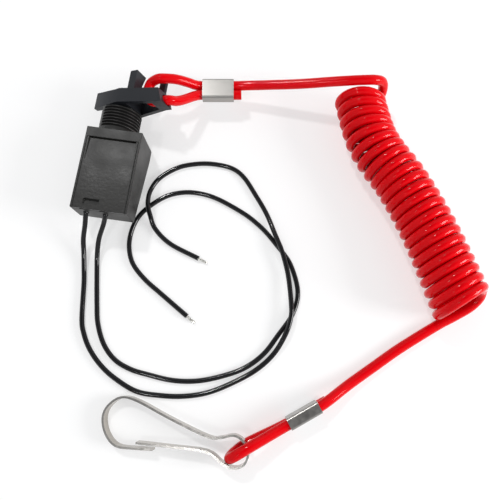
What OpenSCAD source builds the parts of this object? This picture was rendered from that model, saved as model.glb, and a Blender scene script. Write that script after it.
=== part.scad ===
// Engine kill switch with a fork key on a coiled red lanyard and a spring hook.
// Lengths are millimetres. The switch lies on its rear pad, its neck along +Y.

/* [Case] */
// Width of the case
body_w = 22; // [19:0.5:26]
// Length of the case without its neck
body_l = 33.2; // [30:0.1:45]
// Depth of the case at the neck end
body_d = 18.5; // [18:0.5:24]
// Depth of the case at the wire end
tail_d = 12.5; // [11:0.5:16]
// Length of the rear pad that the case lies on
pad_l = 5; // [4:0.5:10]
// Wall of the case
wall = 1.6; // [1.2:0.1:2]
// Length of the proud collar at the neck end
collar_l = 4; // [3:0.5:6]
// Wall between the case and its neck
crown = 2.5; // [2:0.25:4]

/* [Neck] */
// Outer diameter of the panel neck
neck_d = 16; // [15:0.25:18]
// Length of the panel neck
neck_l = 11; // [9:0.5:16]
// Distance of the neck to the left of the middle
neck_left = 1.2; // [0:0.1:1.6]

/* [Cover] */
// Thickness of the snap-in front cover
cover_t = 1.8; // [1.5:0.1:2.4]
// Width of the case wall left beside the cover
cover_rim = 0.9; // [0.7:0.1:1.4]
// Depth of the recess at the top of the cover
recess_d = 1.1; // [0.5:0.1:1.2]
// Length over which the recess runs out
recess_l = 11; // [8:0.5:16]
// Width of the latch window
latch_w = 6; // [4:0.5:8]
// Length of the latch window
latch_l = 2.1; // [1.5:0.1:3]

/* [Plunger] */
// Diameter of the plunger shaft
plunger_d = 9.2; // [8:0.1:10]
// Diameter of the plunger's waist in the fork
waist_d = 4.4; // [4:0.1:4.6]
// Diameter of the plunger head
head_d = 6.6; // [6:0.1:7]
// Thickness of the plunger head
head_t = 1.7; // [1.2:0.1:2.5]
// How far the plunger springs in when the key is pulled
travel = 2.6; // [2:0.1:2.8]

/* [Key] */
// Turn of the key about the neck, its eye end rising
key_roll = 27; // [10:1:40]
// Length of the fork from the plunger to its tips
prong_l = 12; // [10:0.5:14]
// Length of the key from the plunger to its eye end
key_l = 19.5; // [18.5:0.5:24]
// Width of the key across its middle
key_w = 14.4; // [13:0.2:18]
// Width of the key across its prong tips
key_end_w = 8.8; // [8.8:0.2:11]
// Width of the key across its eye end
eye_end_w = 7.4; // [6.8:0.2:9]
// Height of the key's walls along the neck
key_h = 6; // [5.5:0.1:8]
// Thickness of the key's walls
key_wall = 2.3; // [1.8:0.1:2.5]
// Drop of the prong ramps from the middle to the tips
ramp = 2.6; // [1.5:0.1:3]
// Height of the two thumb fins over the walls
fin_h = 7.6; // [4:0.2:9]

/* [Lanyard] */
// Diameter of the red cord
cord_d = 4; // [3.5:0.1:4]
// Outer diameter of the coil
coil_d = 22; // [18:0.5:22]
// Length of a crimp sleeve
crimp_l = 13; // [10:0.5:16]
// Width of a crimp sleeve over its two cords
crimp_w = 8.8; // [8.5:0.1:10]
// Thickness of a crimp sleeve
crimp_t = 4.7; // [4.5:0.1:5.5]
// Diameter of the two black wires
wire_d = 2; // [1.6:0.1:2]

/* [Hook] */
// Width of the hook's steel strip
strip_w = 4.5; // [3.5:0.1:5]
// Thickness of the hook's steel strip
strip_t = 0.8; // [0.6:0.1:1]

/* [Hidden] */
$fn = 64;
// Clearances: running fit, seated fit, gap between pieces that slide past each other
run = 0.1;
seat = 0.05;
slip = 0.3;
eps = 0.02;
// The case runs from its neck end down to its wire end
top_y = pad_l / 2;
tail_y = top_y - body_l;
inner_top = top_y - crown;
neck_end = top_y + neck_l;
neck_x = -neck_left;
half_w = body_w / 2;
neck_z = body_d / 2 + 0.75;
cover_w = body_w - 2 * cover_rim;
cover_top = top_y - collar_l;
cavity_front = body_d - cover_t - seat;
// Holes of the two wires in the wire end
wire_z = body_d - tail_d / 2 + 0.25;
wire_x = [-6.5, 1.2];
wire_colour = [0.03, 0.03, 0.035];
// Heights along the neck axis, from the neck's end
fork_low = 1.2;
fork_top = fork_low + key_h;
head_low = fork_top + 0.4;
shoulder = fork_low - slip;
seat_t = 0.8;
seat_y = -neck_l - crown - seat;
flange_t = 1.2;
spring_l = 5.2;
flange_y = seat_y - seat_t - spring_l;
spring_wire = 0.7;
flange_d = 2 * (min(neck_z - wall, cavity_front - neck_z) - slip);
// The shaft is thinner inside the case where the spring needs the room
rod_d = min(plunger_d, flange_d - 2 * spring_wire - 4 * slip);
step_y = seat_y + travel + slip;
seal_y = -5;
seal_groove = 1.1;
seal_room = 1.5;
spring_turns = 4;
bridge_t = 0.6;
carrier_t = 2.4;
bridge_y = flange_y - flange_t - carrier_t;
contact_y = bridge_y - bridge_t - travel - slip;
contact_t = 0.8;
contact_pitch = 7.6;
contact_w = 3.4;
base_l = 3;
base_h = 5.2;
carrier_w = 8;
carrier_h = 4.4;
bridge_l = contact_pitch + contact_w - 0.2;
bridge_w = 3;
contact_h = 3.6;
upper_at = [36.1, 29.8, 9];
lower_at = [87.2, -94.6];
// Key: raised ridges beside the ramps, fins, window and eye
ridge_h = 1.1;
ridge_w = 11.2;
mid_x = 2.6;
fin_x = 5.6;
fin_t = 3.5;
fin_out = 5.8;
far_fin_x = 14.4;
far_fin_t = 3;
far_fin_h = 6.3;
back_h = 3.4;
eye_d = cord_d + 0.6;
eye_y = 3.7;
eye_z = -0.6;
lean = 2.6;
black = [0.07, 0.07, 0.075];
red = [0.75, 0.02, 0.06];
nickel = [0.72, 0.71, 0.68];

// Routes of the cords, chosen by hand
wire_left_route = [
    [-6.5, tail_y - 0.4, wire_z], [-7, -34.7, 9.5], [-8, -40, 5.2], [-7.5, -45.5, 2.6],
    [-6.6, -51.4, 1.3], [-5.5, -57.3, 1], [-3.4, -71.1, 1], [-1.4, -76.7, 1], [2, -82.1, 1],
    [7.1, -87.2, 1], [13.5, -91.4, 1], [22.9, -95.2, 1], [32.3, -95.5, 1], [41.5, -94.5, 1],
    [50.3, -91.9, 1], [59, -87.1, 1], [67.4, -81, 1], [73.4, -74, 1.3], [77, -65.7, 3], [78.2, -59, 3.3],
    [77.7, -54, 3.3], [75.5, -44.2, 2.8], [73.5, -38.3, 3], [71, -32.6, 3.3], [67.7, -26.6, 2.6],
    [63.2, -18.3, 1.2], [57.6, -10.8, 1], [51.7, -3.8, 1], [46.1, -0.5, 1], [38.3, 0.3, 1],
    [30.8, -0.7, 1], [23.5, -3.4, 1], [16.8, -8.9, 1], [14, -15.2, 1.6], [14.4, -21.4, 3.3],
    [16.2, -26.2, 2.6], [18.9, -31, 1.2], [26.1, -36.3, 1], [38.4, -40.7, 1.2]];
wire_right_route = [
    [1.2, tail_y - 0.4, wire_z], [0.2, -33.7, 9.5], [-1.9, -39.1, 5], [-2.2, -44.8, 2.4],
    [-1.5, -50.6, 1.2], [1.3, -64.5, 1], [3.3, -72.2, 1], [7.1, -79.5, 1], [12.5, -84.7, 1],
    [19.1, -87.4, 1], [26.3, -88.5, 1], [35.9, -89.3, 1], [45.1, -88.3, 1], [54, -85.4, 1],
    [62.7, -81, 1], [69.5, -74.6, 1], [74.5, -66.1, 1], [78.2, -59.3, 1], [79.8, -53.4, 1],
    [79.8, -48.6, 1], [78.3, -43.5, 1], [75.4, -37.7, 1], [72.4, -34, 1], [69.2, -30.9, 1],
    [64.7, -26.6, 1], [60, -23, 1], [53.9, -19.4, 1], [43.2, -15, 1], [35.4, -13.4, 1], [27.9, -13.8, 1],
    [20.7, -16.6, 1], [14.2, -22.3, 1], [10.6, -27.8, 1], [9.2, -34.4, 1], [9.8, -40.7, 1],
    [12.5, -46.6, 1], [18.4, -52.1, 1], [26, -57, 1], [37.6, -64.3, 1.2]];
upper_route = [
    [46, 29.2, 9], [42.6, 28.7, 9], [30, 26.95, 9], [26.8, 25, 10.6], [24.9, 22.7, 12.6],
    [23.1, 20.4, 14.8], [21.2, 18.5, 17], [18.7, 17.3, 19.2], [14.3, 17.2, 17], [11.2, 17.9, 15.6],
    [9.3, 20.2, 15], [8.7, 23, 14.8], [9.7, 25.8, 15.6], [12.5, 26.9, 17.3], [14.9, 27.4, 17.4],
    [19.4, 28.6, 15.8], [23.7, 29.8, 12.4], [26.6, 30.4, 10], [29.8, 31.1, 9], [42, 32.8, 9],
    [49.3, 33.5, 9.9], [57.5, 33.9, 11.6], [69.5, 34.5, 14.2], [81.3, 35.4, 17.1], [88.5, 35.8, 19.2],
    [93.8, 35.9, 20]];
coil_route = [
    [93.8, 35.9, 11], [95.7, 30.5, 11], [98, 24, 11], [101.4, 16, 11], [106.5, 8.7, 11],
    [114.2, 0.1, 11], [123, -12.5, 11], [130.8, -25.9, 11], [141.8, -47.6, 11]];
lower_route = [
    [141.8, -47.6, 2], [138.5, -50.3, 2], [132, -55.5, 2], [121.7, -65, 2], [112, -73.6, 2],
    [103, -81.5, 3], [93, -90.3, 6.5], [81.4, -98.9, 6.5], [75, -103.4, 8], [68.5, -108, 9.8],
    [63.8, -111.6, 9.4], [62, -113.1, 6.4], [63.6, -111.3, 3.4], [68, -107.6, 2], [81.4, -98.9, 2.3],
    [95.4, -88.5, 2.3]];
// Middle line of the hook's strip seen from above, from its free end to the tip of its latch arm
hook_line = [
    [34, -114.3], [27, -114.9], [20.2, -115], [15.6, -111.4], [13.4, -106], [14.6, -101.4], [19, -97.8],
    [25.5, -98.3], [38, -102.4], [53.5, -106.8], [58.6, -106.3], [63, -104.9], [66.8, -106.4], [69, -110.2],
    [68, -114.3], [64.4, -116], [60, -114.8], [53.8, -111.9], [40, -112.3], [27.5, -112.9]];
hook_lift = 4.3;

// Frame across a route: its direction at a point, and the two directions across it
function unit(v) = v / norm(v);
function along(p, i) = unit(p[min(i + 1, len(p) - 1)] - p[max(i - 1, 0)]);
function across(t) = unit(cross(t, abs(t[2]) < 0.8 ? [0, 0, 1] : [1, 0, 0]));
function ring(c, t, r, n) = let (a = across(t), b = cross(a, t))
    [for (k = [0 : n - 1]) c + r * (cos(360 * (k + 0.5) / n) * a + sin(360 * (k + 0.5) / n) * b)];
// Smooth route: points of a Catmull-Rom curve through the given ones
function bend(a, b, c, d, t) = 0.5 * (2 * b + t * (c - a) + t * t * (2 * a - 5 * b + 4 * c - d)
    + t * t * t * (3 * b - a - 3 * c + d));
function smooth(p, n) = [for (i = [0 : len(p) - 2], k = [0 : n - 1])
    bend(p[max(i - 1, 0)], p[i], p[i + 1], p[min(i + 2, len(p) - 1)], k / n), p[len(p) - 1]];

// Round tube of radius r swept along the route p
module tube(p, r, n) {
    count = len(p);
    points = [for (i = [0 : count - 1]) each ring(p[i], along(p, i), r, n)];
    sides = [for (i = [0 : count - 2], k = [0 : n - 1])
        [i * n + k, i * n + (k + 1) % n, (i + 1) * n + (k + 1) % n, (i + 1) * n + k]];
    ends = [[for (k = [n - 1 : -1 : 0]) k], [for (k = [0 : n - 1]) (count - 1) * n + k]];
    polyhedron(points, concat(sides, ends));
}

// Solid round bar along the neck axis between two heights over the neck's end
module neck_bar(low, high, d) {
    translate([neck_x, neck_end + high, neck_z]) rotate([90, 0, 0]) cylinder(d = d, h = high - low);
}

// Puts a shape drawn with x along the key, y along the neck and z across the key in its place
module in_key() {
    translate([neck_x, neck_end, neck_z]) rotate([0, -key_roll, 0]) children();
}

// Prism over an outline drawn along the key and across it, between two heights
module key_prism(outline, low, high) {
    translate([0, high, 0]) rotate([90, 0, 0]) linear_extrude(high - low) polygon(outline);
}

// Side outline of the case: full depth at the neck end, thinner to the wires
module case_outline(inset) {
    polygon([[top_y - inset, inset], [top_y - inset, body_d], [tail_y + inset, body_d],
             [tail_y + inset, body_d - tail_d + inset], [top_y - pad_l, inset]]);
}

// Block over a side outline, as wide as stated and centred
module side_block(width) {
    translate([-width / 2, 0, 0]) rotate([90, 0, 90]) linear_extrude(width) children();
}

// Moulded case with its collar and panel neck
module case() {
    color(black) difference() {
        union() {
            side_block(body_w) case_outline(0);
            neck_bar(-neck_l - eps, 0, neck_d);
        }
        // Room for the works, open at the front below the collar
        intersection() {
            side_block(body_w - 2 * wall) case_outline(wall);
            translate([-half_w, tail_y, 0]) cube([body_w, inner_top - tail_y, cavity_front]);
        }
        translate([-half_w + wall, tail_y + wall, cavity_front - 1])
            cube([body_w - 2 * wall, cover_top - tail_y - wall - 1, 1 + cover_t]);
        // Seat of the cover
        translate([-cover_w / 2 - seat, tail_y - 1, cavity_front])
            cube([cover_w + 2 * seat, cover_top + seat - tail_y + 1, cover_t + 1]);
        neck_bar(-neck_l - crown - 1, 1, plunger_d + 2 * run);
        for (x = wire_x) translate([x, tail_y + wall + 1, wire_z]) rotate([90, 0, 0])
            cylinder(d = wire_d + 2 * seat, h = wall + 2);
    }
}

// Snap-in front cover with a run-out recess, latch window and two notches over the wires
module cover() {
    color(black) difference() {
        translate([-cover_w / 2, tail_y, body_d - cover_t])
            cube([cover_w, cover_top - tail_y, cover_t]);
        side_block(cover_w - 1.6) polygon([[cover_top + 1, body_d - recess_d], [cover_top + 1, body_d + 1],
            [cover_top - recess_l, body_d + 1], [cover_top - recess_l, body_d]]);
        translate([-cover_w / 2 + 3.7, tail_y + 1.9, body_d - 1]) cube([latch_w, latch_l, 2]);
        for (x = wire_x) translate([x, tail_y, body_d - cover_t]) rotate([-90, 0, 0])
            cylinder(d = 2.4, h = 1.6, center = true);
    }
}

// Turned plunger: shaft, waist that the fork grips, head and spring flange
module plunger() {
    color(black) difference() {
        union() {
            neck_bar(step_y, shoulder, plunger_d);
            neck_bar(flange_y, step_y + eps, rod_d);
            neck_bar(shoulder - eps, head_low + eps, waist_d);
            neck_bar(head_low, head_low + head_t, head_d);
            neck_bar(flange_y - flange_t, flange_y + eps, flange_d);
        }
        // Groove of the seal
        difference() {
            neck_bar(seal_y - seal_room, seal_y, plunger_d + 1);
            neck_bar(seal_y - seal_room - 1, seal_y + 1, plunger_d - 2 * seal_groove);
        }
    }
}

// Rubber ring in the plunger's groove, just clear of the bore
module plunger_seal() {
    color([0.03, 0.03, 0.03]) translate([neck_x, neck_end + seal_y - seal_room / 2, neck_z]) rotate([90, 0, 0])
        rotate_extrude() translate([plunger_d / 2 - seal_groove / 2 + seat, 0]) circle(d = seal_groove, $fn = 24);
}

// Steel washer under the crown that the spring pushes against
module spring_seat() {
    color(nickel) difference() {
        neck_bar(seat_y - seat_t, seat_y, flange_d);
        neck_bar(seat_y - seat_t - 1, seat_y + 1, rod_d + 2 * slip);
    }
}

// Coil spring between the washer and the flange
module return_spring() {
    low = flange_y + spring_wire / 2 + seat;
    high = seat_y - seat_t - spring_wire / 2 - slip;
    steps = 12 * spring_turns;
    r = rod_d / 2 + slip + spring_wire / 2;
    route = [for (i = [0 : steps]) [neck_x + r * cos(30 * i), neck_end + low + (high - low) * i / steps,
        neck_z + r * sin(30 * i)]];
    color(nickel) tube(route, spring_wire / 2, 6);
}

// Moulded carrier under the flange that holds the bridge
module contact_carrier() {
    color([0.55, 0.12, 0.08]) translate([neck_x - carrier_w / 2, neck_end + bridge_y,
        neck_z - carrier_h / 2]) cube([carrier_w, carrier_t - seat, carrier_h]);
}

// Copper bridge with a domed button at each end
module contact_bridge() {
    color([0.75, 0.42, 0.2]) union() {
        translate([neck_x - bridge_l / 2, neck_end + bridge_y - bridge_t, neck_z - bridge_w / 2])
            cube([bridge_l, bridge_t - seat, bridge_w]);
    }
}

// Insulating base across the case that carries both fixed contacts
module contact_base() {
    y = neck_end + contact_y - contact_t - base_l;
    color([0.25, 0.22, 0.2]) difference() {
        translate([-half_w + wall + seat, y, neck_z - base_h / 2])
            cube([body_w - 2 * wall - 2 * seat, base_l - seat, base_h]);
        for (side = [-1, 1]) translate([neck_x + side * contact_pitch / 2, y - 1, neck_z])
            cube([contact_w - 1 + 2 * seat, 2 * base_l + 4, contact_t + 2 * seat], center = true);
    }
}

// Brass contact strip on the base, folded down through it to its terminal
module fixed_contact(side) {
    y = neck_end + contact_y;
    color([0.8, 0.62, 0.3]) union() {
        translate([neck_x + side * contact_pitch / 2 - contact_w / 2, y - contact_t, neck_z - contact_h / 2])
            cube([contact_w, contact_t, contact_h]);
        translate([neck_x + side * contact_pitch / 2 - contact_w / 2 + 0.5, y - contact_t - base_l - 1.5,
                   neck_z - contact_t / 2])
            cube([contact_w - 1, base_l + 1.6, contact_t]);
    }
}

// Crimp barrel between a contact's tail and its wire
module terminal(side) {
    x = wire_x[side < 0 ? 0 : 1];
    y = neck_end + contact_y - contact_t - base_l - 1.5;
    color([0.8, 0.62, 0.3]) translate([min(x, neck_x + side * contact_pitch / 2) - 1.2, y - 1.2 - seat,
        neck_z - 1]) cube([abs(x - neck_x - side * contact_pitch / 2) + 2.4, 1.2, wire_z - neck_z + 2]);
}

// Black wire: a straight stretch inside the case and the free route outside
module wire(side) {
    x = wire_x[side < 0 ? 0 : 1];
    y = neck_end + contact_y - contact_t - base_l - 1.5 - 1.2 - 2 * seat;
    color(wire_colour) tube(concat([[x, y, wire_z], [x, tail_y + 1, wire_z]],
        side < 0 ? wire_left_route : wire_right_route), wire_d / 2, 8);
}

// Bare tinned strands at the end of a wire
module strands(route) {
    last = route[len(route) - 1];
    t = along(route, len(route) - 1);
    color([0.8, 0.8, 0.76]) tube([last + seat * t, last + 2 * t, last + 4 * t + [0, 0, -0.2]], 0.55, 8);
}

// Plate of a thumb fin: its outline across the key and along the neck, its place and its thickness
module fin(outline, x, thick) {
    translate([x, 0, 0]) rotate([0, 90, 0]) linear_extrude(thick)
        polygon([for (p = outline) [-p[0], fork_top + p[1]]]);
}

// Fork key: tapered ring with a slot for the waist, an eye window, an eye end and two thumb fins
module key() {
    w = key_w / 2;
    e = key_end_w / 2;
    g = eye_end_w / 2;
    half_slot = waist_d / 2 + slip;
    half_head = head_d / 2 + slip;
    inner = w - key_wall;
    window_start = waist_d / 2 + slip + key_wall + 0.8;
    window_end = key_l - key_wall - slip;
    color(black) in_key() union() {
        difference() {
            union() {
                key_prism([[-prong_l, -e], [-prong_l, e], [mid_x, w], [key_l, g], [key_l, -g], [mid_x, -w]],
                    fork_low, fork_top);
                key_prism([[-prong_l, -e], [-prong_l, e], [mid_x, ridge_w / 2], [mid_x, -ridge_w / 2]],
                    fork_top - eps, fork_top + ridge_h);
                // Eye end leans outward to its foot
                translate([0, 0, -g]) linear_extrude(2 * g)
                    polygon([[key_l - 1, fork_low], [key_l + lean, fork_low], [key_l, fork_top], [key_l - 1, fork_top]]);
            }
            // Slot of the fork
            key_prism([[-prong_l - 1, -half_slot], [0, -half_slot], [0, half_slot], [-prong_l - 1, half_slot]],
                fork_low - 1, fork_top + 1);
            translate([0, fork_top + 1, 0]) rotate([90, 0, 0]) cylinder(d = 2 * half_slot, h = key_h + 2);
            // Ramps that lift the plunger's head as the fork goes on, between the ridges
            translate([0, 0, -half_head]) linear_extrude(2 * half_head)
                polygon([[1.5, fork_top], [-prong_l - 1, fork_top - ramp * (prong_l + 2.5) / (prong_l + 1.5)],
                         [-prong_l - 1, fork_top + ridge_h + 1], [1.5, fork_top + ridge_h + 1]]);
            key_prism([[1, -half_head], [1, half_head], [mid_x + 1, half_head], [mid_x + 1, -half_head]],
                fork_top, fork_top + ridge_h + 1);
            // Window that the cord passes down through
            key_prism([[window_start, -inner], [window_start, inner], [window_end, g - 1.2],
                [window_end, 1.2 - g]], fork_low - 1, fork_top + 1);
            // Eye that the cord leaves by
            translate([window_end - 1, eye_y, eye_z]) rotate([0, 90, 0]) cylinder(d = eye_d, h = key_wall + lean + 4);
        }
        fin([[fin_out, -1], [fin_out, fin_h + 0.4], [0.2, fin_h], [fin_out - key_wall - 1, -1]], fin_x, fin_t);
        // Low wall between the fins, behind the cord
        fin([[-g - 0.4, -1], [-g - 0.4, back_h], [-2.9, back_h], [-2.9, -0.6]], fin_x + fin_t - eps,
            far_fin_x - fin_x - fin_t + 2 * eps);
        fin([[-g - 0.4, -1], [-g - 0.4, far_fin_h], [-2.7, far_fin_h], [-2.7, -0.6]], far_fin_x, far_fin_t);
    }
}

// Flattened steel sleeve round the two cords of a loop
module crimp() {
    edge = crimp_t / 2;
    difference() {
        intersection() {
            cube([crimp_l, crimp_w, crimp_t], center = true);
            rotate([0, 90, 0]) linear_extrude(crimp_l + 1, center = true)
                offset(r = 1) square([crimp_t - 2 + eps, crimp_w - 2 + eps], center = true);
        }
        for (side = [-1, 1]) translate([0, side * (crimp_w / 4 - 0.05), 0]) rotate([0, 90, 0])
            cylinder(d = cord_d + 0.1, h = crimp_l + 1, center = true);
    }
}

module crimp_upper() {
    color(nickel) translate(upper_at) rotate([0, 0, 8]) crimp();
}

module crimp_lower() {
    color(nickel) translate([lower_at[0], lower_at[1], crimp_w / 2]) rotate([0, 0, 36.5]) rotate([90, 0, 0]) crimp();
}

// Bent strip hook standing on its edge, its eye lifted by the cord that passes under it
module snap_hook() {
    line = smooth([for (p = hook_line) [p[0], p[1], 0]], 4);
    count = len(line);
    side = [for (i = [0 : count - 1]) let (t = along(line, i)) [-t[1], t[0]] * strip_t / 2];
    outer = [for (i = [0 : count - 1]) [line[i][0], line[i][1]] + side[i]];
    inner = [for (i = [count - 1 : -1 : 0]) [line[i][0], line[i][1]] - side[i]];
    color(nickel) translate([hook_line[4][0], 0, 0]) rotate([0, -asin(hook_lift / 52), 0])
        translate([-hook_line[4][0], 0, 0]) linear_extrude(strip_w) polygon(concat(outer, inner));
}

case();
cover();
plunger();
plunger_seal();
spring_seat();
return_spring();
contact_carrier();
contact_bridge();
contact_base();
fixed_contact(-1);  // contact_left
fixed_contact(1);  // contact_right
terminal(-1);  // terminal_left
terminal(1);  // terminal_right
wire(-1);  // wire_left
wire(1);  // wire_right
strands(wire_left_route);  // strands_left
strands(wire_right_route);  // strands_right
key();
color(red) tube(upper_route, cord_d / 2, 10);  // lanyard_upper
color(red) tube(coil_route, coil_d / 2, 16);  // lanyard_coil
color(red) tube(lower_route, cord_d / 2, 10);  // lanyard_lower
crimp_upper();
crimp_lower();
snap_hook();
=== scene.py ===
"""Looks of the engine kill switch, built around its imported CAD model.

All places are in the row frame: origin under the rear pad of the case, +Y along the panel neck,
+Z out of the front cover. Routes are written in millimetres, as in the CAD source.
"""
import math

import bmesh
import bpy
import numpy as np
from bpy.props import FloatProperty, FloatVectorProperty, IntProperty, PointerProperty
from mathutils import Matrix, Vector


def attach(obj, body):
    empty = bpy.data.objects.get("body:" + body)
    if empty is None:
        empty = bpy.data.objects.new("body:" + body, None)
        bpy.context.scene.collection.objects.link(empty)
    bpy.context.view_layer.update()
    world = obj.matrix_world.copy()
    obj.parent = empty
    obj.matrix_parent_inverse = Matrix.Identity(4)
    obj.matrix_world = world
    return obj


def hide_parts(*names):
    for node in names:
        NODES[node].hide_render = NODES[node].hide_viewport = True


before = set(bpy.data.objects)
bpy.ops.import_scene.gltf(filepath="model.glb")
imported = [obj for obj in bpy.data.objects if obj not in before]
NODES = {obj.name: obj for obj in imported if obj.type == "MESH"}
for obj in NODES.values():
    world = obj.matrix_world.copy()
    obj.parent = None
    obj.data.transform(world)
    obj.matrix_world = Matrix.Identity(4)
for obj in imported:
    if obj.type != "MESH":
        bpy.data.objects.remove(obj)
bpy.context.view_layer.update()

bl_info = {
    "name": "Engine kill switch",
    "version": (1, 0, 0),
    "blender": (4, 0, 0),
    "location": "View3D > Sidebar > Kill switch",
    "description": "Builds the looks of an engine kill switch with a coiled lanyard key",
    "category": "Object",
}

MM = 0.001

# Routes of the cords in mm. They follow the CAD source, except where the lanyard's two ends
# meet its coil: there they join the turns, which the CAD model has as one plain tube.
LEFT_WIRE = (
    (-6.5, -29.7, 12.5), (-6.5, -31.1, 12.5), (-7, -34.7, 9.5), (-8, -40, 5.2), (-7.5, -45.5, 2.6),
    (-6.6, -51.4, 1.3), (-5.5, -57.3, 1), (-3.4, -71.1, 1), (-1.4, -76.7, 1), (2, -82.1, 1),
    (7.1, -87.2, 1), (13.5, -91.4, 1), (22.9, -95.2, 1), (32.3, -95.5, 1), (41.5, -94.5, 1),
    (50.3, -91.9, 1), (59, -87.1, 1), (67.4, -81, 1), (73.4, -74, 1.3), (77, -65.7, 3), (78.2, -59, 3.3),
    (77.7, -54, 3.3), (75.5, -44.2, 2.8), (73.5, -38.3, 3), (71, -32.6, 3.3), (67.7, -26.6, 2.6),
    (63.2, -18.3, 1.2), (57.6, -10.8, 1), (51.7, -3.8, 1), (46.1, -0.5, 1), (38.3, 0.3, 1), (30.8, -0.7, 1),
    (23.5, -3.4, 1), (16.8, -8.9, 1), (14, -15.2, 1.6), (14.4, -21.4, 3.3), (16.2, -26.2, 2.6),
    (18.9, -31, 1.2), (26.1, -36.3, 1), (38.4, -40.7, 1.2))
RIGHT_WIRE = (
    (1.2, -29.7, 12.5), (1.2, -31.1, 12.5), (0.2, -33.7, 9.5), (-1.9, -39.1, 5), (-2.2, -44.8, 2.4),
    (-1.5, -50.6, 1.2), (1.3, -64.5, 1), (3.3, -72.2, 1), (7.1, -79.5, 1), (12.5, -84.7, 1),
    (19.1, -87.4, 1), (26.3, -88.5, 1), (35.9, -89.3, 1), (45.1, -88.3, 1), (54, -85.4, 1), (62.7, -81, 1),
    (69.5, -74.6, 1), (74.5, -66.1, 1), (78.2, -59.3, 1), (79.8, -53.4, 1), (79.8, -48.6, 1),
    (78.3, -43.5, 1), (75.4, -37.7, 1), (72.4, -34, 1), (69.2, -30.9, 1), (64.7, -26.6, 1), (60, -23, 1),
    (53.9, -19.4, 1), (43.2, -15, 1), (35.4, -13.4, 1), (27.9, -13.8, 1), (20.7, -16.6, 1),
    (14.2, -22.3, 1), (10.6, -27.8, 1), (9.2, -34.4, 1), (9.8, -40.7, 1), (12.5, -46.6, 1),
    (18.4, -52.1, 1), (26, -57, 1), (37.6, -64.3, 1.2))
UPPER_END = (
    (46, 29.2, 9), (42.6, 28.7, 9), (30, 26.95, 9), (26.8, 25, 10.6), (24.9, 22.7, 12.6),
    (23.1, 20.4, 14.8), (21.2, 18.5, 17), (18.7, 17.3, 19.2), (14.3, 17.2, 17), (11.2, 17.9, 15.6),
    (9.3, 20.2, 15), (8.7, 23, 14.8), (9.7, 25.8, 15.6), (12.5, 26.9, 17.3), (14.9, 27.4, 17.4),
    (19.4, 28.6, 15.8), (23.7, 29.8, 12.4), (26.6, 30.4, 10), (29.8, 31.1, 9), (42, 32.8, 9),
    (49.3, 33.5, 9.9), (57.5, 33.9, 11.6), (69.5, 34.5, 14.2), (81.3, 35.4, 17.1), (88.5, 35.8, 19),
    (94.8, 36.4, 20), (99, 37.3, 19.5), (102.2, 38.6, 16.6), (103.6, 37.9, 12.2), (103.2, 35.8, 7.8),
    (100.9, 33.4, 4.2), (97.6, 32, 2.6))
COIL_AXIS = (
    (93.8, 35.9, 11), (95.7, 30.5, 11), (98, 24, 11), (101.4, 16, 11), (106.5, 8.7, 11), (114.2, 0.1, 11),
    (123, -12.5, 11), (130.8, -25.9, 11), (141.8, -47.6, 11))
LOWER_END = (
    (149.3, -39.4, 8.6), (149.7, -41.8, 5.4), (147, -45.6, 3.3), (141.5, -49.9, 2.3), (135.1, -54.4, 2.1),
    (121.7, -65, 2), (112, -73.6, 2), (103, -81.5, 3), (93, -90.3, 6.5), (81.4, -98.9, 6.5),
    (75, -103.4, 8), (68.5, -108, 9.8), (63.8, -111.6, 9.4), (62, -113.1, 6.4), (63.6, -111.3, 3.4),
    (68, -107.6, 2), (81.4, -98.9, 2.3), (95.4, -88.5, 2.3))
# Slight thinning of the cord in the coil, so that its turns lie clear of each other
COIL_THIN = 0.975
# Where the coil's helix starts and how far it stays clear of both ends of its axis
COIL_START, COIL_LEAD, COIL_SHORT = 0.53, 1.1, 2.7
# Neck axis in x and z, its radius, and its ends in y
NECK_X, NECK_Z, NECK_R, NECK_BASE, NECK_END = -1.2, 10.0, 8.0, 2.5, 13.5
# Depth of the thread's groove, and half its width at the foot and at the mouth
GROOVE_DEPTH, GROOVE_FOOT, GROOVE_MOUTH = 0.85, 0.1, 0.56
# Smooth band down the neck's left side that the thread leaves out, in degrees about the neck
BAND_AT, BAND_HALF = 180.0, 46.0


class SwitchSizes(bpy.types.PropertyGroup):
    """Sizes that a user would change."""
    cord: FloatProperty(name="Cord diameter", description="Diameter of the red lanyard cord",
                        default=4.0 * MM, unit="LENGTH")
    coil: FloatProperty(name="Coil diameter", description="Outer diameter of the coil",
                        default=22.0 * MM, unit="LENGTH")
    lean_start: FloatProperty(name="Lean at start", description="Turning back of the first turn in plan",
                              default=math.radians(-5), unit="ROTATION")
    lean_end: FloatProperty(name="Lean at end", description="Turning back of the last turn in plan",
                            default=math.radians(17), unit="ROTATION")
    tip: FloatProperty(name="Tip", description="How far the turns are tipped back from upright",
                       default=math.radians(9), unit="ROTATION")
    turns: FloatProperty(name="Turns", description="Turns of the coil; ends on a quarter turn",
                         default=23.25)
    wire: FloatProperty(name="Wire diameter", description="Diameter of the black wires",
                        default=2.0 * MM, unit="LENGTH")
    pitch: FloatProperty(name="Thread pitch", description="Pitch of the neck's thread",
                         default=1.25 * MM, unit="LENGTH")
    strands: IntProperty(name="Strands", description="Bare strands at each wire's end", default=9, min=3)
    edge: FloatProperty(name="Edge radius", description="Rounding of the moulded edges",
                        default=0.25 * MM, unit="LENGTH")


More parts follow.
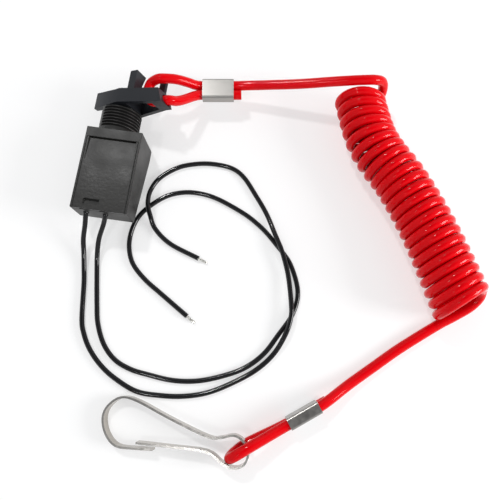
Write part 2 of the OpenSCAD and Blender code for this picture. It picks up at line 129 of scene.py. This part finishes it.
class SwitchColours(bpy.types.PropertyGroup):
    """Colours that a user would change."""
    lanyard: FloatVectorProperty(name="Lanyard", description="Colour of the lanyard",
                                 subtype="COLOR", default=(0.66, 0.0008, 0.004))
    case: FloatVectorProperty(name="Case", description="Colour of the case",
                              subtype="COLOR", default=(0.014, 0.0135, 0.0125))
    key: FloatVectorProperty(name="Key", description="Colour of the key",
                             subtype="COLOR", default=(0.016, 0.018, 0.022))
    wire: FloatVectorProperty(name="Wire", description="Colour of the wires",
                              subtype="COLOR", default=(0.006, 0.006, 0.007))
    metal: FloatVectorProperty(name="Metal", description="Colour of crimps and hook",
                               subtype="COLOR", default=(0.62, 0.6, 0.57))


def smooth(points, steps):
    """Catmull-Rom curve: P(t) = (2b + t(c-a) + t^2(2a-5b+4c-d) + t^3(3b-a-3c+d)) / 2 through b and c."""
    p = np.asarray(points, float)
    pad = np.vstack([2 * p[:1] - p[1:2], p, 2 * p[-1:] - p[-2:-1]])
    a, b, c, d = (pad[i:len(pad) - 3 + i, None, :] for i in range(4))
    t = (np.arange(steps) / steps)[None, :, None]
    curve = 0.5 * (2 * b + t * (c - a) + t ** 2 * (2 * a - 5 * b + 4 * c - d) + t ** 3 * (3 * b - a - 3 * c + d))
    return np.vstack([curve.reshape(-1, 3), p[-1:]])


def length_of(points):
    """Length of a polyline."""
    return float(np.linalg.norm(np.diff(points, axis=0), axis=1).sum())


def resample(points, count):
    """Points at equal distances along a polyline."""
    s = np.concatenate([[0], np.cumsum(np.linalg.norm(np.diff(points, axis=0), axis=1))])
    at = np.linspace(0, s[-1], count)
    return np.stack([np.interp(at, s, points[:, i]) for i in range(3)], axis=1)


def coil_points(turns, radius, half, lean, tip, per_turn=28):
    """Left-handed helix about the bent axis A: P = A + q (cos w U + sin w R), w from 0 at the top of the
    coil. R is level and square to the axis but turned back by lean, which grows along the coil, and U is the
    upright turned back by tip, since the turns lie over to one side. The turns widen a little along the
    coil and rest on the table: q = r (0.93 + 0.17 (w / turns)^2), axis height q + half a cord. The cord's own
    route makes the first half turn, and the last one from the right side, where the coil opens out."""
    axis = resample(smooth(COIL_AXIS, 24), 600)
    total = length_of(axis)
    w = np.linspace(COIL_START, turns, int((turns - COIL_START) * per_turn) + 1)
    run = COIL_LEAD + w * (total - COIL_SHORT) / turns
    s = np.linspace(0, total, len(axis))
    a = np.stack([np.interp(run, s, axis[:, i]) for i in range(3)], axis=1)
    d = np.gradient(a, axis=0)
    d /= np.linalg.norm(d, axis=1)[:, None]
    r = np.stack([-d[:, 1], d[:, 0], np.zeros(len(d))], axis=1)
    back = (lean[0] + (lean[1] - lean[0]) * w / turns - math.radians(9) * np.exp(-w / 2.2))[:, None]
    r = np.cos(back) * r - np.sin(back) * d
    up = np.cos(tip) * np.array([0, 0, 1.0]) - np.sin(tip) * d
    angle = 2 * np.pi * w[:, None]
    q = radius * (0.93 + 0.17 * (w[:, None] / turns) ** 2)
    a[:, 0] -= 0.7 * w / turns
    a[:, 2] = q[:, 0] + half
    return a + q * (np.cos(angle) * up + np.sin(angle) * r)


def link(obj):
    """Puts an object in the scene."""
    bpy.context.scene.collection.objects.link(obj)
    return obj


def tube_faces(rings, sides, base=0):
    """Faces of a closed tube over rings of points, with both ends capped, numbered from base."""
    i, j = np.arange(rings - 1)[:, None] * sides, np.arange(sides)[None, :]
    k = (j + 1) % sides
    faces = (base + np.stack([i + j, i + k, i + sides + k, i + sides + j], axis=-1)).reshape(-1, 4).tolist()
    last = base + (rings - 1) * sides
    return faces + [list(range(base, base + sides))[::-1], list(range(last, last + sides))]


def mesh_object(name, points, faces):
    """Smooth mesh object over points in mm."""
    mesh = bpy.data.meshes.new(name)
    mesh.from_pydata((points * MM).tolist(), [], faces)
    mesh.polygons.foreach_set("use_smooth", [True] * len(mesh.polygons))
    mesh.update()
    return link(bpy.data.objects.new(name, mesh))


def tube_points(path, radius, sides):
    """Rings of a round tube along path: P = C + r (cos w A + sin w B), its frame carried without twist."""
    path = np.asarray(path, float)
    t = np.gradient(path, axis=0)
    t /= np.linalg.norm(t, axis=1)[:, None]
    a = np.cross(t[0], [0.3, 0.2, 1.0])
    rows = []
    w = np.linspace(0, 2 * np.pi, sides, endpoint=False)[:, None]
    for c, d in zip(path, t):
        a = a - d * a.dot(d)
        a /= np.linalg.norm(a)
        rows.append(c + radius * (np.cos(w) * a + np.sin(w) * np.cross(d, a)))
    return np.array(rows)


def cord_curve(name, points, diameter):
    """Round cord as one open poly spline along points in mm."""
    data = bpy.data.curves.new(name, "CURVE")
    data.dimensions = "3D"
    data.bevel_depth = diameter / 2
    data.bevel_resolution = 4
    data.use_fill_caps = True
    spline = data.splines.new("POLY")
    spline.points.add(len(points) - 1)
    flat = np.ones((len(points), 4))
    flat[:, :3] = np.asarray(points) * MM
    spline.points.foreach_set("co", flat.ravel())
    spline.use_smooth = True
    return link(bpy.data.objects.new(name, data))


def nodes_of(name):
    """New material with its node tree, its shader and a helper that adds and links nodes."""
    material = bpy.data.materials.new(name)
    material.use_nodes = True
    tree = material.node_tree
    shader = tree.nodes["Principled BSDF"]

    def add(kind, links=(), **values):
        node = tree.nodes.new(kind)
        for key, value in values.items():
            if hasattr(node, key):
                setattr(node, key, value)
            else:
                node.inputs[key.replace("_", " ")].default_value = value
        for socket, source in links:
            tree.links.new(source, node.inputs[socket])
        return node
    return material, tree, shader, add


def plastic(name, colour, rough, grain=0.0, mottle=0.0, gloss=0.5):
    """Moulded plastic: a fine grain as bump, and a slow mottle in roughness."""
    material, tree, shader, add = nodes_of(name)
    place = add("ShaderNodeTexCoord").outputs["Object"]
    shader.inputs["Base Color"].default_value = (*colour, 1)
    shader.inputs["Roughness"].default_value = rough
    shader.inputs["Specular IOR Level"].default_value = gloss
    if mottle:
        cloud = add("ShaderNodeTexNoise", [("Vector", place)], Scale=110.0, Detail=3.0)
        span = add("ShaderNodeMapRange", [("Value", cloud.outputs["Fac"])], From_Min=0.3, From_Max=0.7,
                   To_Min=rough - mottle, To_Max=rough + mottle)
        tree.links.new(span.outputs["Result"], shader.inputs["Roughness"])
    if grain:
        fine = add("ShaderNodeTexNoise", [("Vector", place)], Scale=900.0, Detail=2.0)
        bump = add("ShaderNodeBump", [("Height", fine.outputs["Fac"])], Strength=grain, Distance=0.1 * MM)
        tree.links.new(bump.outputs["Normal"], shader.inputs["Normal"])
    return material


def metal(name, colour, rough, scratches=0.0, sides=None):
    """Plated metal with fine uneven gloss; sides is the colour of its upright faces, which are painted darker
    than the faces turned up, as a painted dark reflection."""
    material, tree, shader, add = nodes_of(name)
    shader.inputs["Base Color"].default_value = (*colour, 1)
    shader.inputs["Metallic"].default_value = 1.0
    place = add("ShaderNodeTexCoord").outputs["Object"]
    marks = add("ShaderNodeTexNoise", [("Vector", place)], Scale=600.0, Detail=3.0)
    span = add("ShaderNodeMapRange", [("Value", marks.outputs["Fac"])], To_Min=rough * 0.7, To_Max=rough * 1.4)
    tree.links.new(span.outputs["Result"], shader.inputs["Roughness"])
    # Painted reflection: upright faces take the darker sides colour, faces turned up keep the plain colour
    if sides:
        facing = add("ShaderNodeSeparateXYZ", [("Vector", add("ShaderNodeNewGeometry").outputs["Normal"])])
        painted_reflection_fac = add("ShaderNodeMapRange", [("Value", facing.outputs["Z"])], From_Min=0.3, From_Max=0.9)
        mix = add("ShaderNodeMixRGB", [("Fac", painted_reflection_fac.outputs["Result"])], Color1=(*sides, 1), Color2=(*colour, 1))
        tree.links.new(mix.outputs["Color"], shader.inputs["Base Color"])
    if scratches:
        bump = add("ShaderNodeBump", [("Height", marks.outputs["Fac"])], Strength=scratches, Distance=0.05 * MM)
        tree.links.new(bump.outputs["Normal"], shader.inputs["Normal"])
    return material


def paint(obj, material):
    """Gives an object its one material."""
    obj.data.materials.clear()
    obj.data.materials.append(material)
    return obj


def copy_of(node):
    """Copy of a CAD node's mesh, its triangles merged back into flat faces, at the origin."""
    mesh = NODES[node].data.copy()
    bm = bmesh.new()
    bm.from_mesh(mesh)
    bmesh.ops.remove_doubles(bm, verts=bm.verts, dist=1e-6)
    bmesh.ops.dissolve_limit(bm, angle_limit=math.radians(1.0), verts=bm.verts, edges=bm.edges)
    bm.to_mesh(mesh)
    bm.free()
    obj = link(bpy.data.objects.new(node + "_look", mesh))
    obj.matrix_world = NODES[node].matrix_world
    return obj


def apply_modifiers(obj):
    """Writes the modifiers' result into the mesh."""
    dg = bpy.context.evaluated_depsgraph_get()
    mesh = bpy.data.meshes.new_from_object(obj.evaluated_get(dg))
    obj.modifiers.clear()
    obj.data = mesh


def rounded(obj, width, angle=35.0):
    """Small rounding on the sharp edges, with the flats shaded flat."""
    bevel = obj.modifiers.new("edges", "BEVEL")
    bevel.width = width
    bevel.segments = 2
    bevel.limit_method = "ANGLE"
    bevel.angle_limit = math.radians(angle)
    bevel.harden_normals = False
    apply_modifiers(obj)
    obj.data.polygons.foreach_set("use_smooth", [True] * len(obj.data.polygons))
    normals = obj.modifiers.new("normals", "WEIGHTED_NORMAL")
    normals.keep_sharp = False
    apply_modifiers(obj)
    return obj


class KILL_OT_stage(bpy.types.Operator):
    """Camera at the photo's angle, table, backdrop and lights"""
    bl_idname = "kill.stage"
    bl_label = "Stage"

    def execute(self, context):
        scene = context.scene
        data = bpy.data.cameras.new("camera")
        data.lens, data.sensor_width = 36.0, 36.0
        data.clip_start, data.clip_end = 0.01, 10.0
        camera = link(bpy.data.objects.new("camera", data))
        spot = Vector((64.42, -76.15, 200.0)) * MM
        ahead = (Vector((58.50, -34.05, 0.0)) * MM - spot).normalized()
        side = ahead.cross(Vector((-0.139, 0.990, 0))).normalized()
        turn = Matrix((side, side.cross(ahead), -ahead)).transposed()
        camera.matrix_world = Matrix.Translation(spot) @ turn.to_4x4()
        scene.camera = camera
        world = bpy.data.worlds.new("world")
        scene.world = world
        world.use_nodes = True
        tree = world.node_tree
        tree.nodes.clear()
        path = tree.nodes.new("ShaderNodeLightPath")
        plain = tree.nodes.new("ShaderNodeBackground")
        plain.inputs["Color"].default_value = (1, 1, 1, 1)
        light = tree.nodes.new("ShaderNodeBackground")
        light.inputs["Color"].default_value = (0.97, 0.98, 1.0, 1)
        # Darker straight above, where the camera is, and bright all round
        place = tree.nodes.new("ShaderNodeTexCoord")
        split = tree.nodes.new("ShaderNodeSeparateXYZ")
        fade = tree.nodes.new("ShaderNodeMapRange")
        for name, value in (("From Min", 0.8), ("From Max", 0.97), ("To Min", 0.62), ("To Max", 0.08)):
            fade.inputs[name].default_value = value
        tree.links.new(place.outputs["Generated"], split.inputs["Vector"])
        tree.links.new(split.outputs["Z"], fade.inputs["Value"])
        tree.links.new(fade.outputs["Result"], light.inputs["Strength"])
        mix = tree.nodes.new("ShaderNodeMixShader")
        out = tree.nodes.new("ShaderNodeOutputWorld")
        tree.links.new(path.outputs["Is Camera Ray"], mix.inputs["Fac"])
        tree.links.new(light.outputs["Background"], mix.inputs[1])
        tree.links.new(plain.outputs["Background"], mix.inputs[2])
        tree.links.new(mix.outputs["Shader"], out.inputs["Surface"])
        size = 1.6
        mesh = bpy.data.meshes.new("table")
        corners = [(-size, -size, 0), (size, -size, 0), (size, size, 0), (-size, size, 0)]
        mesh.from_pydata(corners, [], [(0, 1, 2, 3)])
        table = link(bpy.data.objects.new("table", mesh))
        material, _, shader, _ = nodes_of("table")
        shader.inputs["Base Color"].default_value = (0.5, 0.5, 0.5, 1)
        shader.inputs["Emission Color"].default_value = (1, 1, 1, 1)
        shader.inputs["Emission Strength"].default_value = 0.5
        shader.inputs["Roughness"].default_value = 0.9
        shader.inputs["Specular IOR Level"].default_value = 0.0
        table.data.materials.append(material)
        lamps = [self.lamp("key_light", (-0.2, 0.3, 0.6), 0.05, 1.5),
                 self.lamp("fill_light", (0.6, -0.05, 0.22), 0.25, 3.0),
                 self.lamp("front_light", (-0.1, -0.3, 0.6), 0.05, 0.5)]
        scene.view_settings.view_transform = "Standard"
        scene.view_settings.look = "None"
        return {"FINISHED"}

    @staticmethod
    def lamp(name, place, size, power):
        """Square lamp at a place, turned to the middle of the part."""
        data = bpy.data.lights.new(name, "AREA")
        data.size = size
        data.energy = power
        lamp = link(bpy.data.objects.new(name, data))
        lamp.location = place
        lamp.rotation_euler = (Vector((0.06, -0.04, 0)) - Vector(place)).to_track_quat("-Z", "Y").to_euler()
        return lamp


class KILL_OT_lanyard(bpy.types.Operator):
    """Red cord: loop through the key's eye, coil and loop round the hook's eye, all one cord"""
    bl_idname = "kill.lanyard"
    bl_label = "Lanyard"

    def execute(self, context):
        sizes, colours = context.scene.kill_sizes, context.scene.kill_colours
        radius = sizes.coil / MM / 2 - sizes.cord / MM / 2
        coil = coil_points(sizes.turns, radius, sizes.cord / MM / 2, (sizes.lean_start, sizes.lean_end), sizes.tip)
        upper = smooth((*UPPER_END, coil[0]), 8)[:-1]
        lower = smooth((coil[-1], *LOWER_END), 8)[1:]
        points = np.vstack([upper, coil, lower])
        cord = cord_curve("lanyard", points, sizes.cord)
        thin = np.full(len(points), 1.0)
        thin[len(upper):len(upper) + len(coil)] = COIL_THIN
        cord.data.splines[0].points.foreach_set("radius", thin)
        material, tree, shader, add = nodes_of("lanyard_red")
        place = add("ShaderNodeTexCoord").outputs["Object"]
        shader.inputs["Base Color"].default_value = (*colours.lanyard, 1)
        shader.inputs["Roughness"].default_value = 0.08
        shader.inputs["Specular IOR Level"].default_value = 0.15
        wave = add("ShaderNodeTexNoise", [("Vector", place)], Scale=260.0, Detail=1.0)
        bump = add("ShaderNodeBump", [("Height", wave.outputs["Fac"])], Strength=0.25, Distance=0.2 * MM)
        tree.links.new(bump.outputs["Normal"], shader.inputs["Normal"])
        paint(cord, material)
        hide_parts("lanyard_upper", "lanyard_coil", "lanyard_lower")
        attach(cord, "key")
        return {"FINISHED"}


class KILL_OT_wires(bpy.types.Operator):
    """Two black wires out of the case, each ending in bare strands"""
    bl_idname = "kill.wires"
    bl_label = "Wires"

    def execute(self, context):
        sizes, colours = context.scene.kill_sizes, context.scene.kill_colours
        skin = plastic("wire_insulation", colours.wire, 0.1, gloss=0.4)
        bare = metal("tinned_strands", (0.72, 0.72, 0.68), 0.3)
        for side, route in (("left", LEFT_WIRE), ("right", RIGHT_WIRE)):
            points = smooth(route, 8)
            wire = paint(cord_curve("wire_%s_look" % side, points, sizes.wire), skin)
            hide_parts("wire_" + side)
            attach(wire, "switch")
            ends = self.strands(side, points, sizes.strands)
            paint(ends, bare)
            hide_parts("strands_" + side)
            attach(ends, "switch")
        return {"FINISHED"}

    @staticmethod
    def strands(side, points, count):
        """Thin strands that leave the insulation's end in a bundle and fray apart towards their tips: each
        path is E + s T + out (cos a A + sin a Z), where out grows with (s / length)^1.5."""
        rng = np.random.default_rng(7 if side == "left" else 8)
        end, before = points[-1], points[-4]
        t = (end - before) / np.linalg.norm(end - before)
        across = np.cross([0, 0, 1.0], t)
        rows, faces, base = [], [], 0
        for k in range(count):
            angle = 2 * np.pi * k / count + rng.uniform(-0.2, 0.2)
            root = 0.0 if k == 0 else 0.42
            spread = rng.uniform(0.8, 1.5) if k % 3 else 1.7
            length = rng.uniform(3.2, 4.2)
            s = np.linspace(-0.8, length, 7)[:, None]
            out = root * (1 + (spread - 1) * np.clip(s / length, 0, 1) ** 1.5)
            path = end + t * s + out * (np.cos(angle) * across + np.sin(angle) * np.array([0, 0, 1.0]))
            path[:, 2] = np.maximum(path[:, 2] - 0.3 * np.clip(s[:, 0] / length, 0, 1), 0.2)
            p = tube_points(path, 0.17, 6)
            n, m = p.shape[:2]
            rows.append(p.reshape(-1, 3))
            faces += tube_faces(n, m, base)
            base += n * m
        return mesh_object("strands_%s_look" % side, np.vstack(rows), faces)


class KILL_OT_case(bpy.types.Operator):
    """Case with rounded edges and the thread cut into its neck, and its snap-in cover"""
    bl_idname = "kill.case"
    bl_label = "Case and cover"

    def execute(self, context):
        sizes, colours = context.scene.kill_sizes, context.scene.kill_colours
        case = rounded(copy_of("case"), sizes.edge)
        pitch = sizes.pitch / MM
        first, last = NECK_BASE + 1.9, NECK_END + 0.2
        turns = (last - first) / pitch
        w = np.linspace(0, turns, int(turns * 72) + 1)
        turn = np.degrees(2 * np.pi * w) % 360
        band = np.clip((np.abs(turn - BAND_AT) - BAND_HALF) / 6, 0, 1)
        # The groove's foot runs out at the start and at the band, where it lies just over the neck
        foot = NECK_R - (GROOVE_DEPTH * np.clip(w / 0.4, 0, 1) * band - 0.05)
        mouth = np.full_like(w, NECK_R + 0.25)
        profile = ((mouth, -GROOVE_MOUTH), (mouth, GROOVE_MOUTH), (foot, GROOVE_FOOT), (foot, -GROOVE_FOOT))
        rings = [np.stack([NECK_X + radius * np.cos(2 * np.pi * w), first + pitch * w + y,
                           NECK_Z + radius * np.sin(2 * np.pi * w)], axis=1) for radius, y in profile]
        rings = np.stack(rings, axis=1)
        cutter = mesh_object("groove", rings.reshape(-1, 3), tube_faces(len(w), len(profile)))
        cut = case.modifiers.new("thread", "BOOLEAN")
        cut.operation, cut.object, cut.solver = "DIFFERENCE", cutter, "EXACT"
        apply_modifiers(case)
        bpy.data.objects.remove(cutter)
        black = plastic("case_plastic", colours.case, 0.42, grain=0.35, mottle=0.05, gloss=0.3)
        paint(case, black)
        # Painted shade: the thread's grooves take a darker, duller black than the rest of the case
        self.paint_groove_shade(case, plastic("case_groove_painted_shade", [0.3 * v for v in colours.case], 0.6, gloss=0.08))
        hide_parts("case")
        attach(case, "switch")
        cover = rounded(copy_of("cover"), sizes.edge * 0.7)
        black = plastic("cover_plastic", colours.case, 0.4, grain=0.5, mottle=0.05, gloss=0.3)
        paint(cover, black)
        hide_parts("cover")
        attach(cover, "switch")
        return {"FINISHED"}

    @staticmethod
    def paint_groove_shade(case, material):
        """Faces of the thread's grooves, found by their distance from the neck axis, take a darker, duller black as
        painted shade.
        """
        mesh = case.data
        mesh.materials.append(material)
        p = np.empty(len(mesh.polygons) * 3)
        mesh.polygons.foreach_get("center", p)
        p = p.reshape(-1, 3) / MM
        far = np.hypot(p[:, 0] - NECK_X, p[:, 2] - NECK_Z)
        along = (p[:, 1] > NECK_BASE + 0.8) & (p[:, 1] < NECK_END - 0.05)
        groove = along & (far < NECK_R - 0.06) & (far > NECK_R - 1.2)
        mesh.polygons.foreach_set("material_index", groove.astype(np.int32))


class KILL_OT_key(bpy.types.Operator):
    """Fork key with rounded edges"""
    bl_idname = "kill.key"
    bl_label = "Key"

    def execute(self, context):
        sizes, colours = context.scene.kill_sizes, context.scene.kill_colours
        key = rounded(copy_of("key"), 2 * sizes.edge)
        black = plastic("key_plastic", colours.key, 0.36, grain=0.25, mottle=0.05, gloss=0.28)
        paint(key, black)
        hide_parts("key")
        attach(key, "key")
        return {"FINISHED"}


class KILL_OT_metal(bpy.types.Operator):
    """Crimp sleeves and the snap hook"""
    bl_idname = "kill.metal"
    bl_label = "Crimps and hook"

    def execute(self, context):
        colours = context.scene.kill_colours
        steel = metal("crimp_steel", [0.62 * v for v in colours.metal], 0.32, scratches=0.2)
        for node in ("crimp_upper", "crimp_lower"):
            paint(NODES[node], steel)
        # The hook's upright faces are painted darker, as a painted dark reflection
        nickel = metal("hook_nickel", colours.metal, 0.16, scratches=0.1, sides=(0.42, 0.39, 0.35))
        paint(NODES["snap_hook"], nickel)
        return {"FINISHED"}


class KILL_OT_works(bpy.types.Operator):
    """Finishes of the plunger and of the works inside the case"""
    bl_idname = "kill.works"
    bl_label = "Plunger and works"

    def execute(self, context):
        black = plastic("plunger_plastic", context.scene.kill_colours.key, 0.4, grain=0.15)
        steel = metal("spring_steel", (0.6, 0.6, 0.58), 0.25)
        brass = metal("contact_brass", (0.75, 0.55, 0.24), 0.28)
        looks = {
            "plunger": (black, "plunger_plastic"),
            "plunger_seal": (plastic("seal_rubber", (0.01, 0.01, 0.01), 0.6), "seal_rubber"),
            "spring_seat": (steel, "spring_steel"),
            "return_spring": (steel, "spring_steel"),
            "contact_carrier": (plastic("carrier_plastic", (0.3, 0.03, 0.02), 0.5), "carrier_plastic"),
            "contact_bridge": (metal("copper", (0.75, 0.35, 0.18), 0.25), "copper"),
            "contact_base": (plastic("base_plastic", (0.08, 0.06, 0.05), 0.5), "base_plastic"),
        }
        for side in ("left", "right"):
            looks["contact_" + side] = looks["terminal_" + side] = (brass, "contact_brass")
        for node, (material, slot) in looks.items():
            paint(NODES[node], material)
        return {"FINISHED"}


class KILL_PT_panel(bpy.types.Panel):
    """Sizes, colours and the pieces"""
    bl_idname = "KILL_PT_panel"
    bl_label = "Kill switch"
    bl_space_type = "VIEW_3D"
    bl_region_type = "UI"
    bl_category = "Kill switch"

    def draw(self, context):
        for group in (context.scene.kill_sizes, context.scene.kill_colours):
            for name in group.__annotations__:
                self.layout.prop(group, name)
        for operator in OPERATORS:
            self.layout.operator(operator.bl_idname)


OPERATORS = (KILL_OT_stage, KILL_OT_lanyard, KILL_OT_wires, KILL_OT_case, KILL_OT_key, KILL_OT_metal, KILL_OT_works)
CLASSES = (SwitchSizes, SwitchColours, *OPERATORS, KILL_PT_panel)


def register():
    for cls in CLASSES:
        bpy.utils.register_class(cls)
    bpy.types.Scene.kill_sizes = PointerProperty(type=SwitchSizes)
    bpy.types.Scene.kill_colours = PointerProperty(type=SwitchColours)


def unregister():
    del bpy.types.Scene.kill_colours
    del bpy.types.Scene.kill_sizes
    for cls in reversed(CLASSES):
        bpy.utils.unregister_class(cls)


def main():
    register()
    bpy.ops.kill.stage()
    bpy.ops.kill.lanyard()
    bpy.ops.kill.wires()
    bpy.ops.kill.case()
    bpy.ops.kill.key()
    bpy.ops.kill.metal()
    bpy.ops.kill.works()


if __name__ == "__main__":
    main()
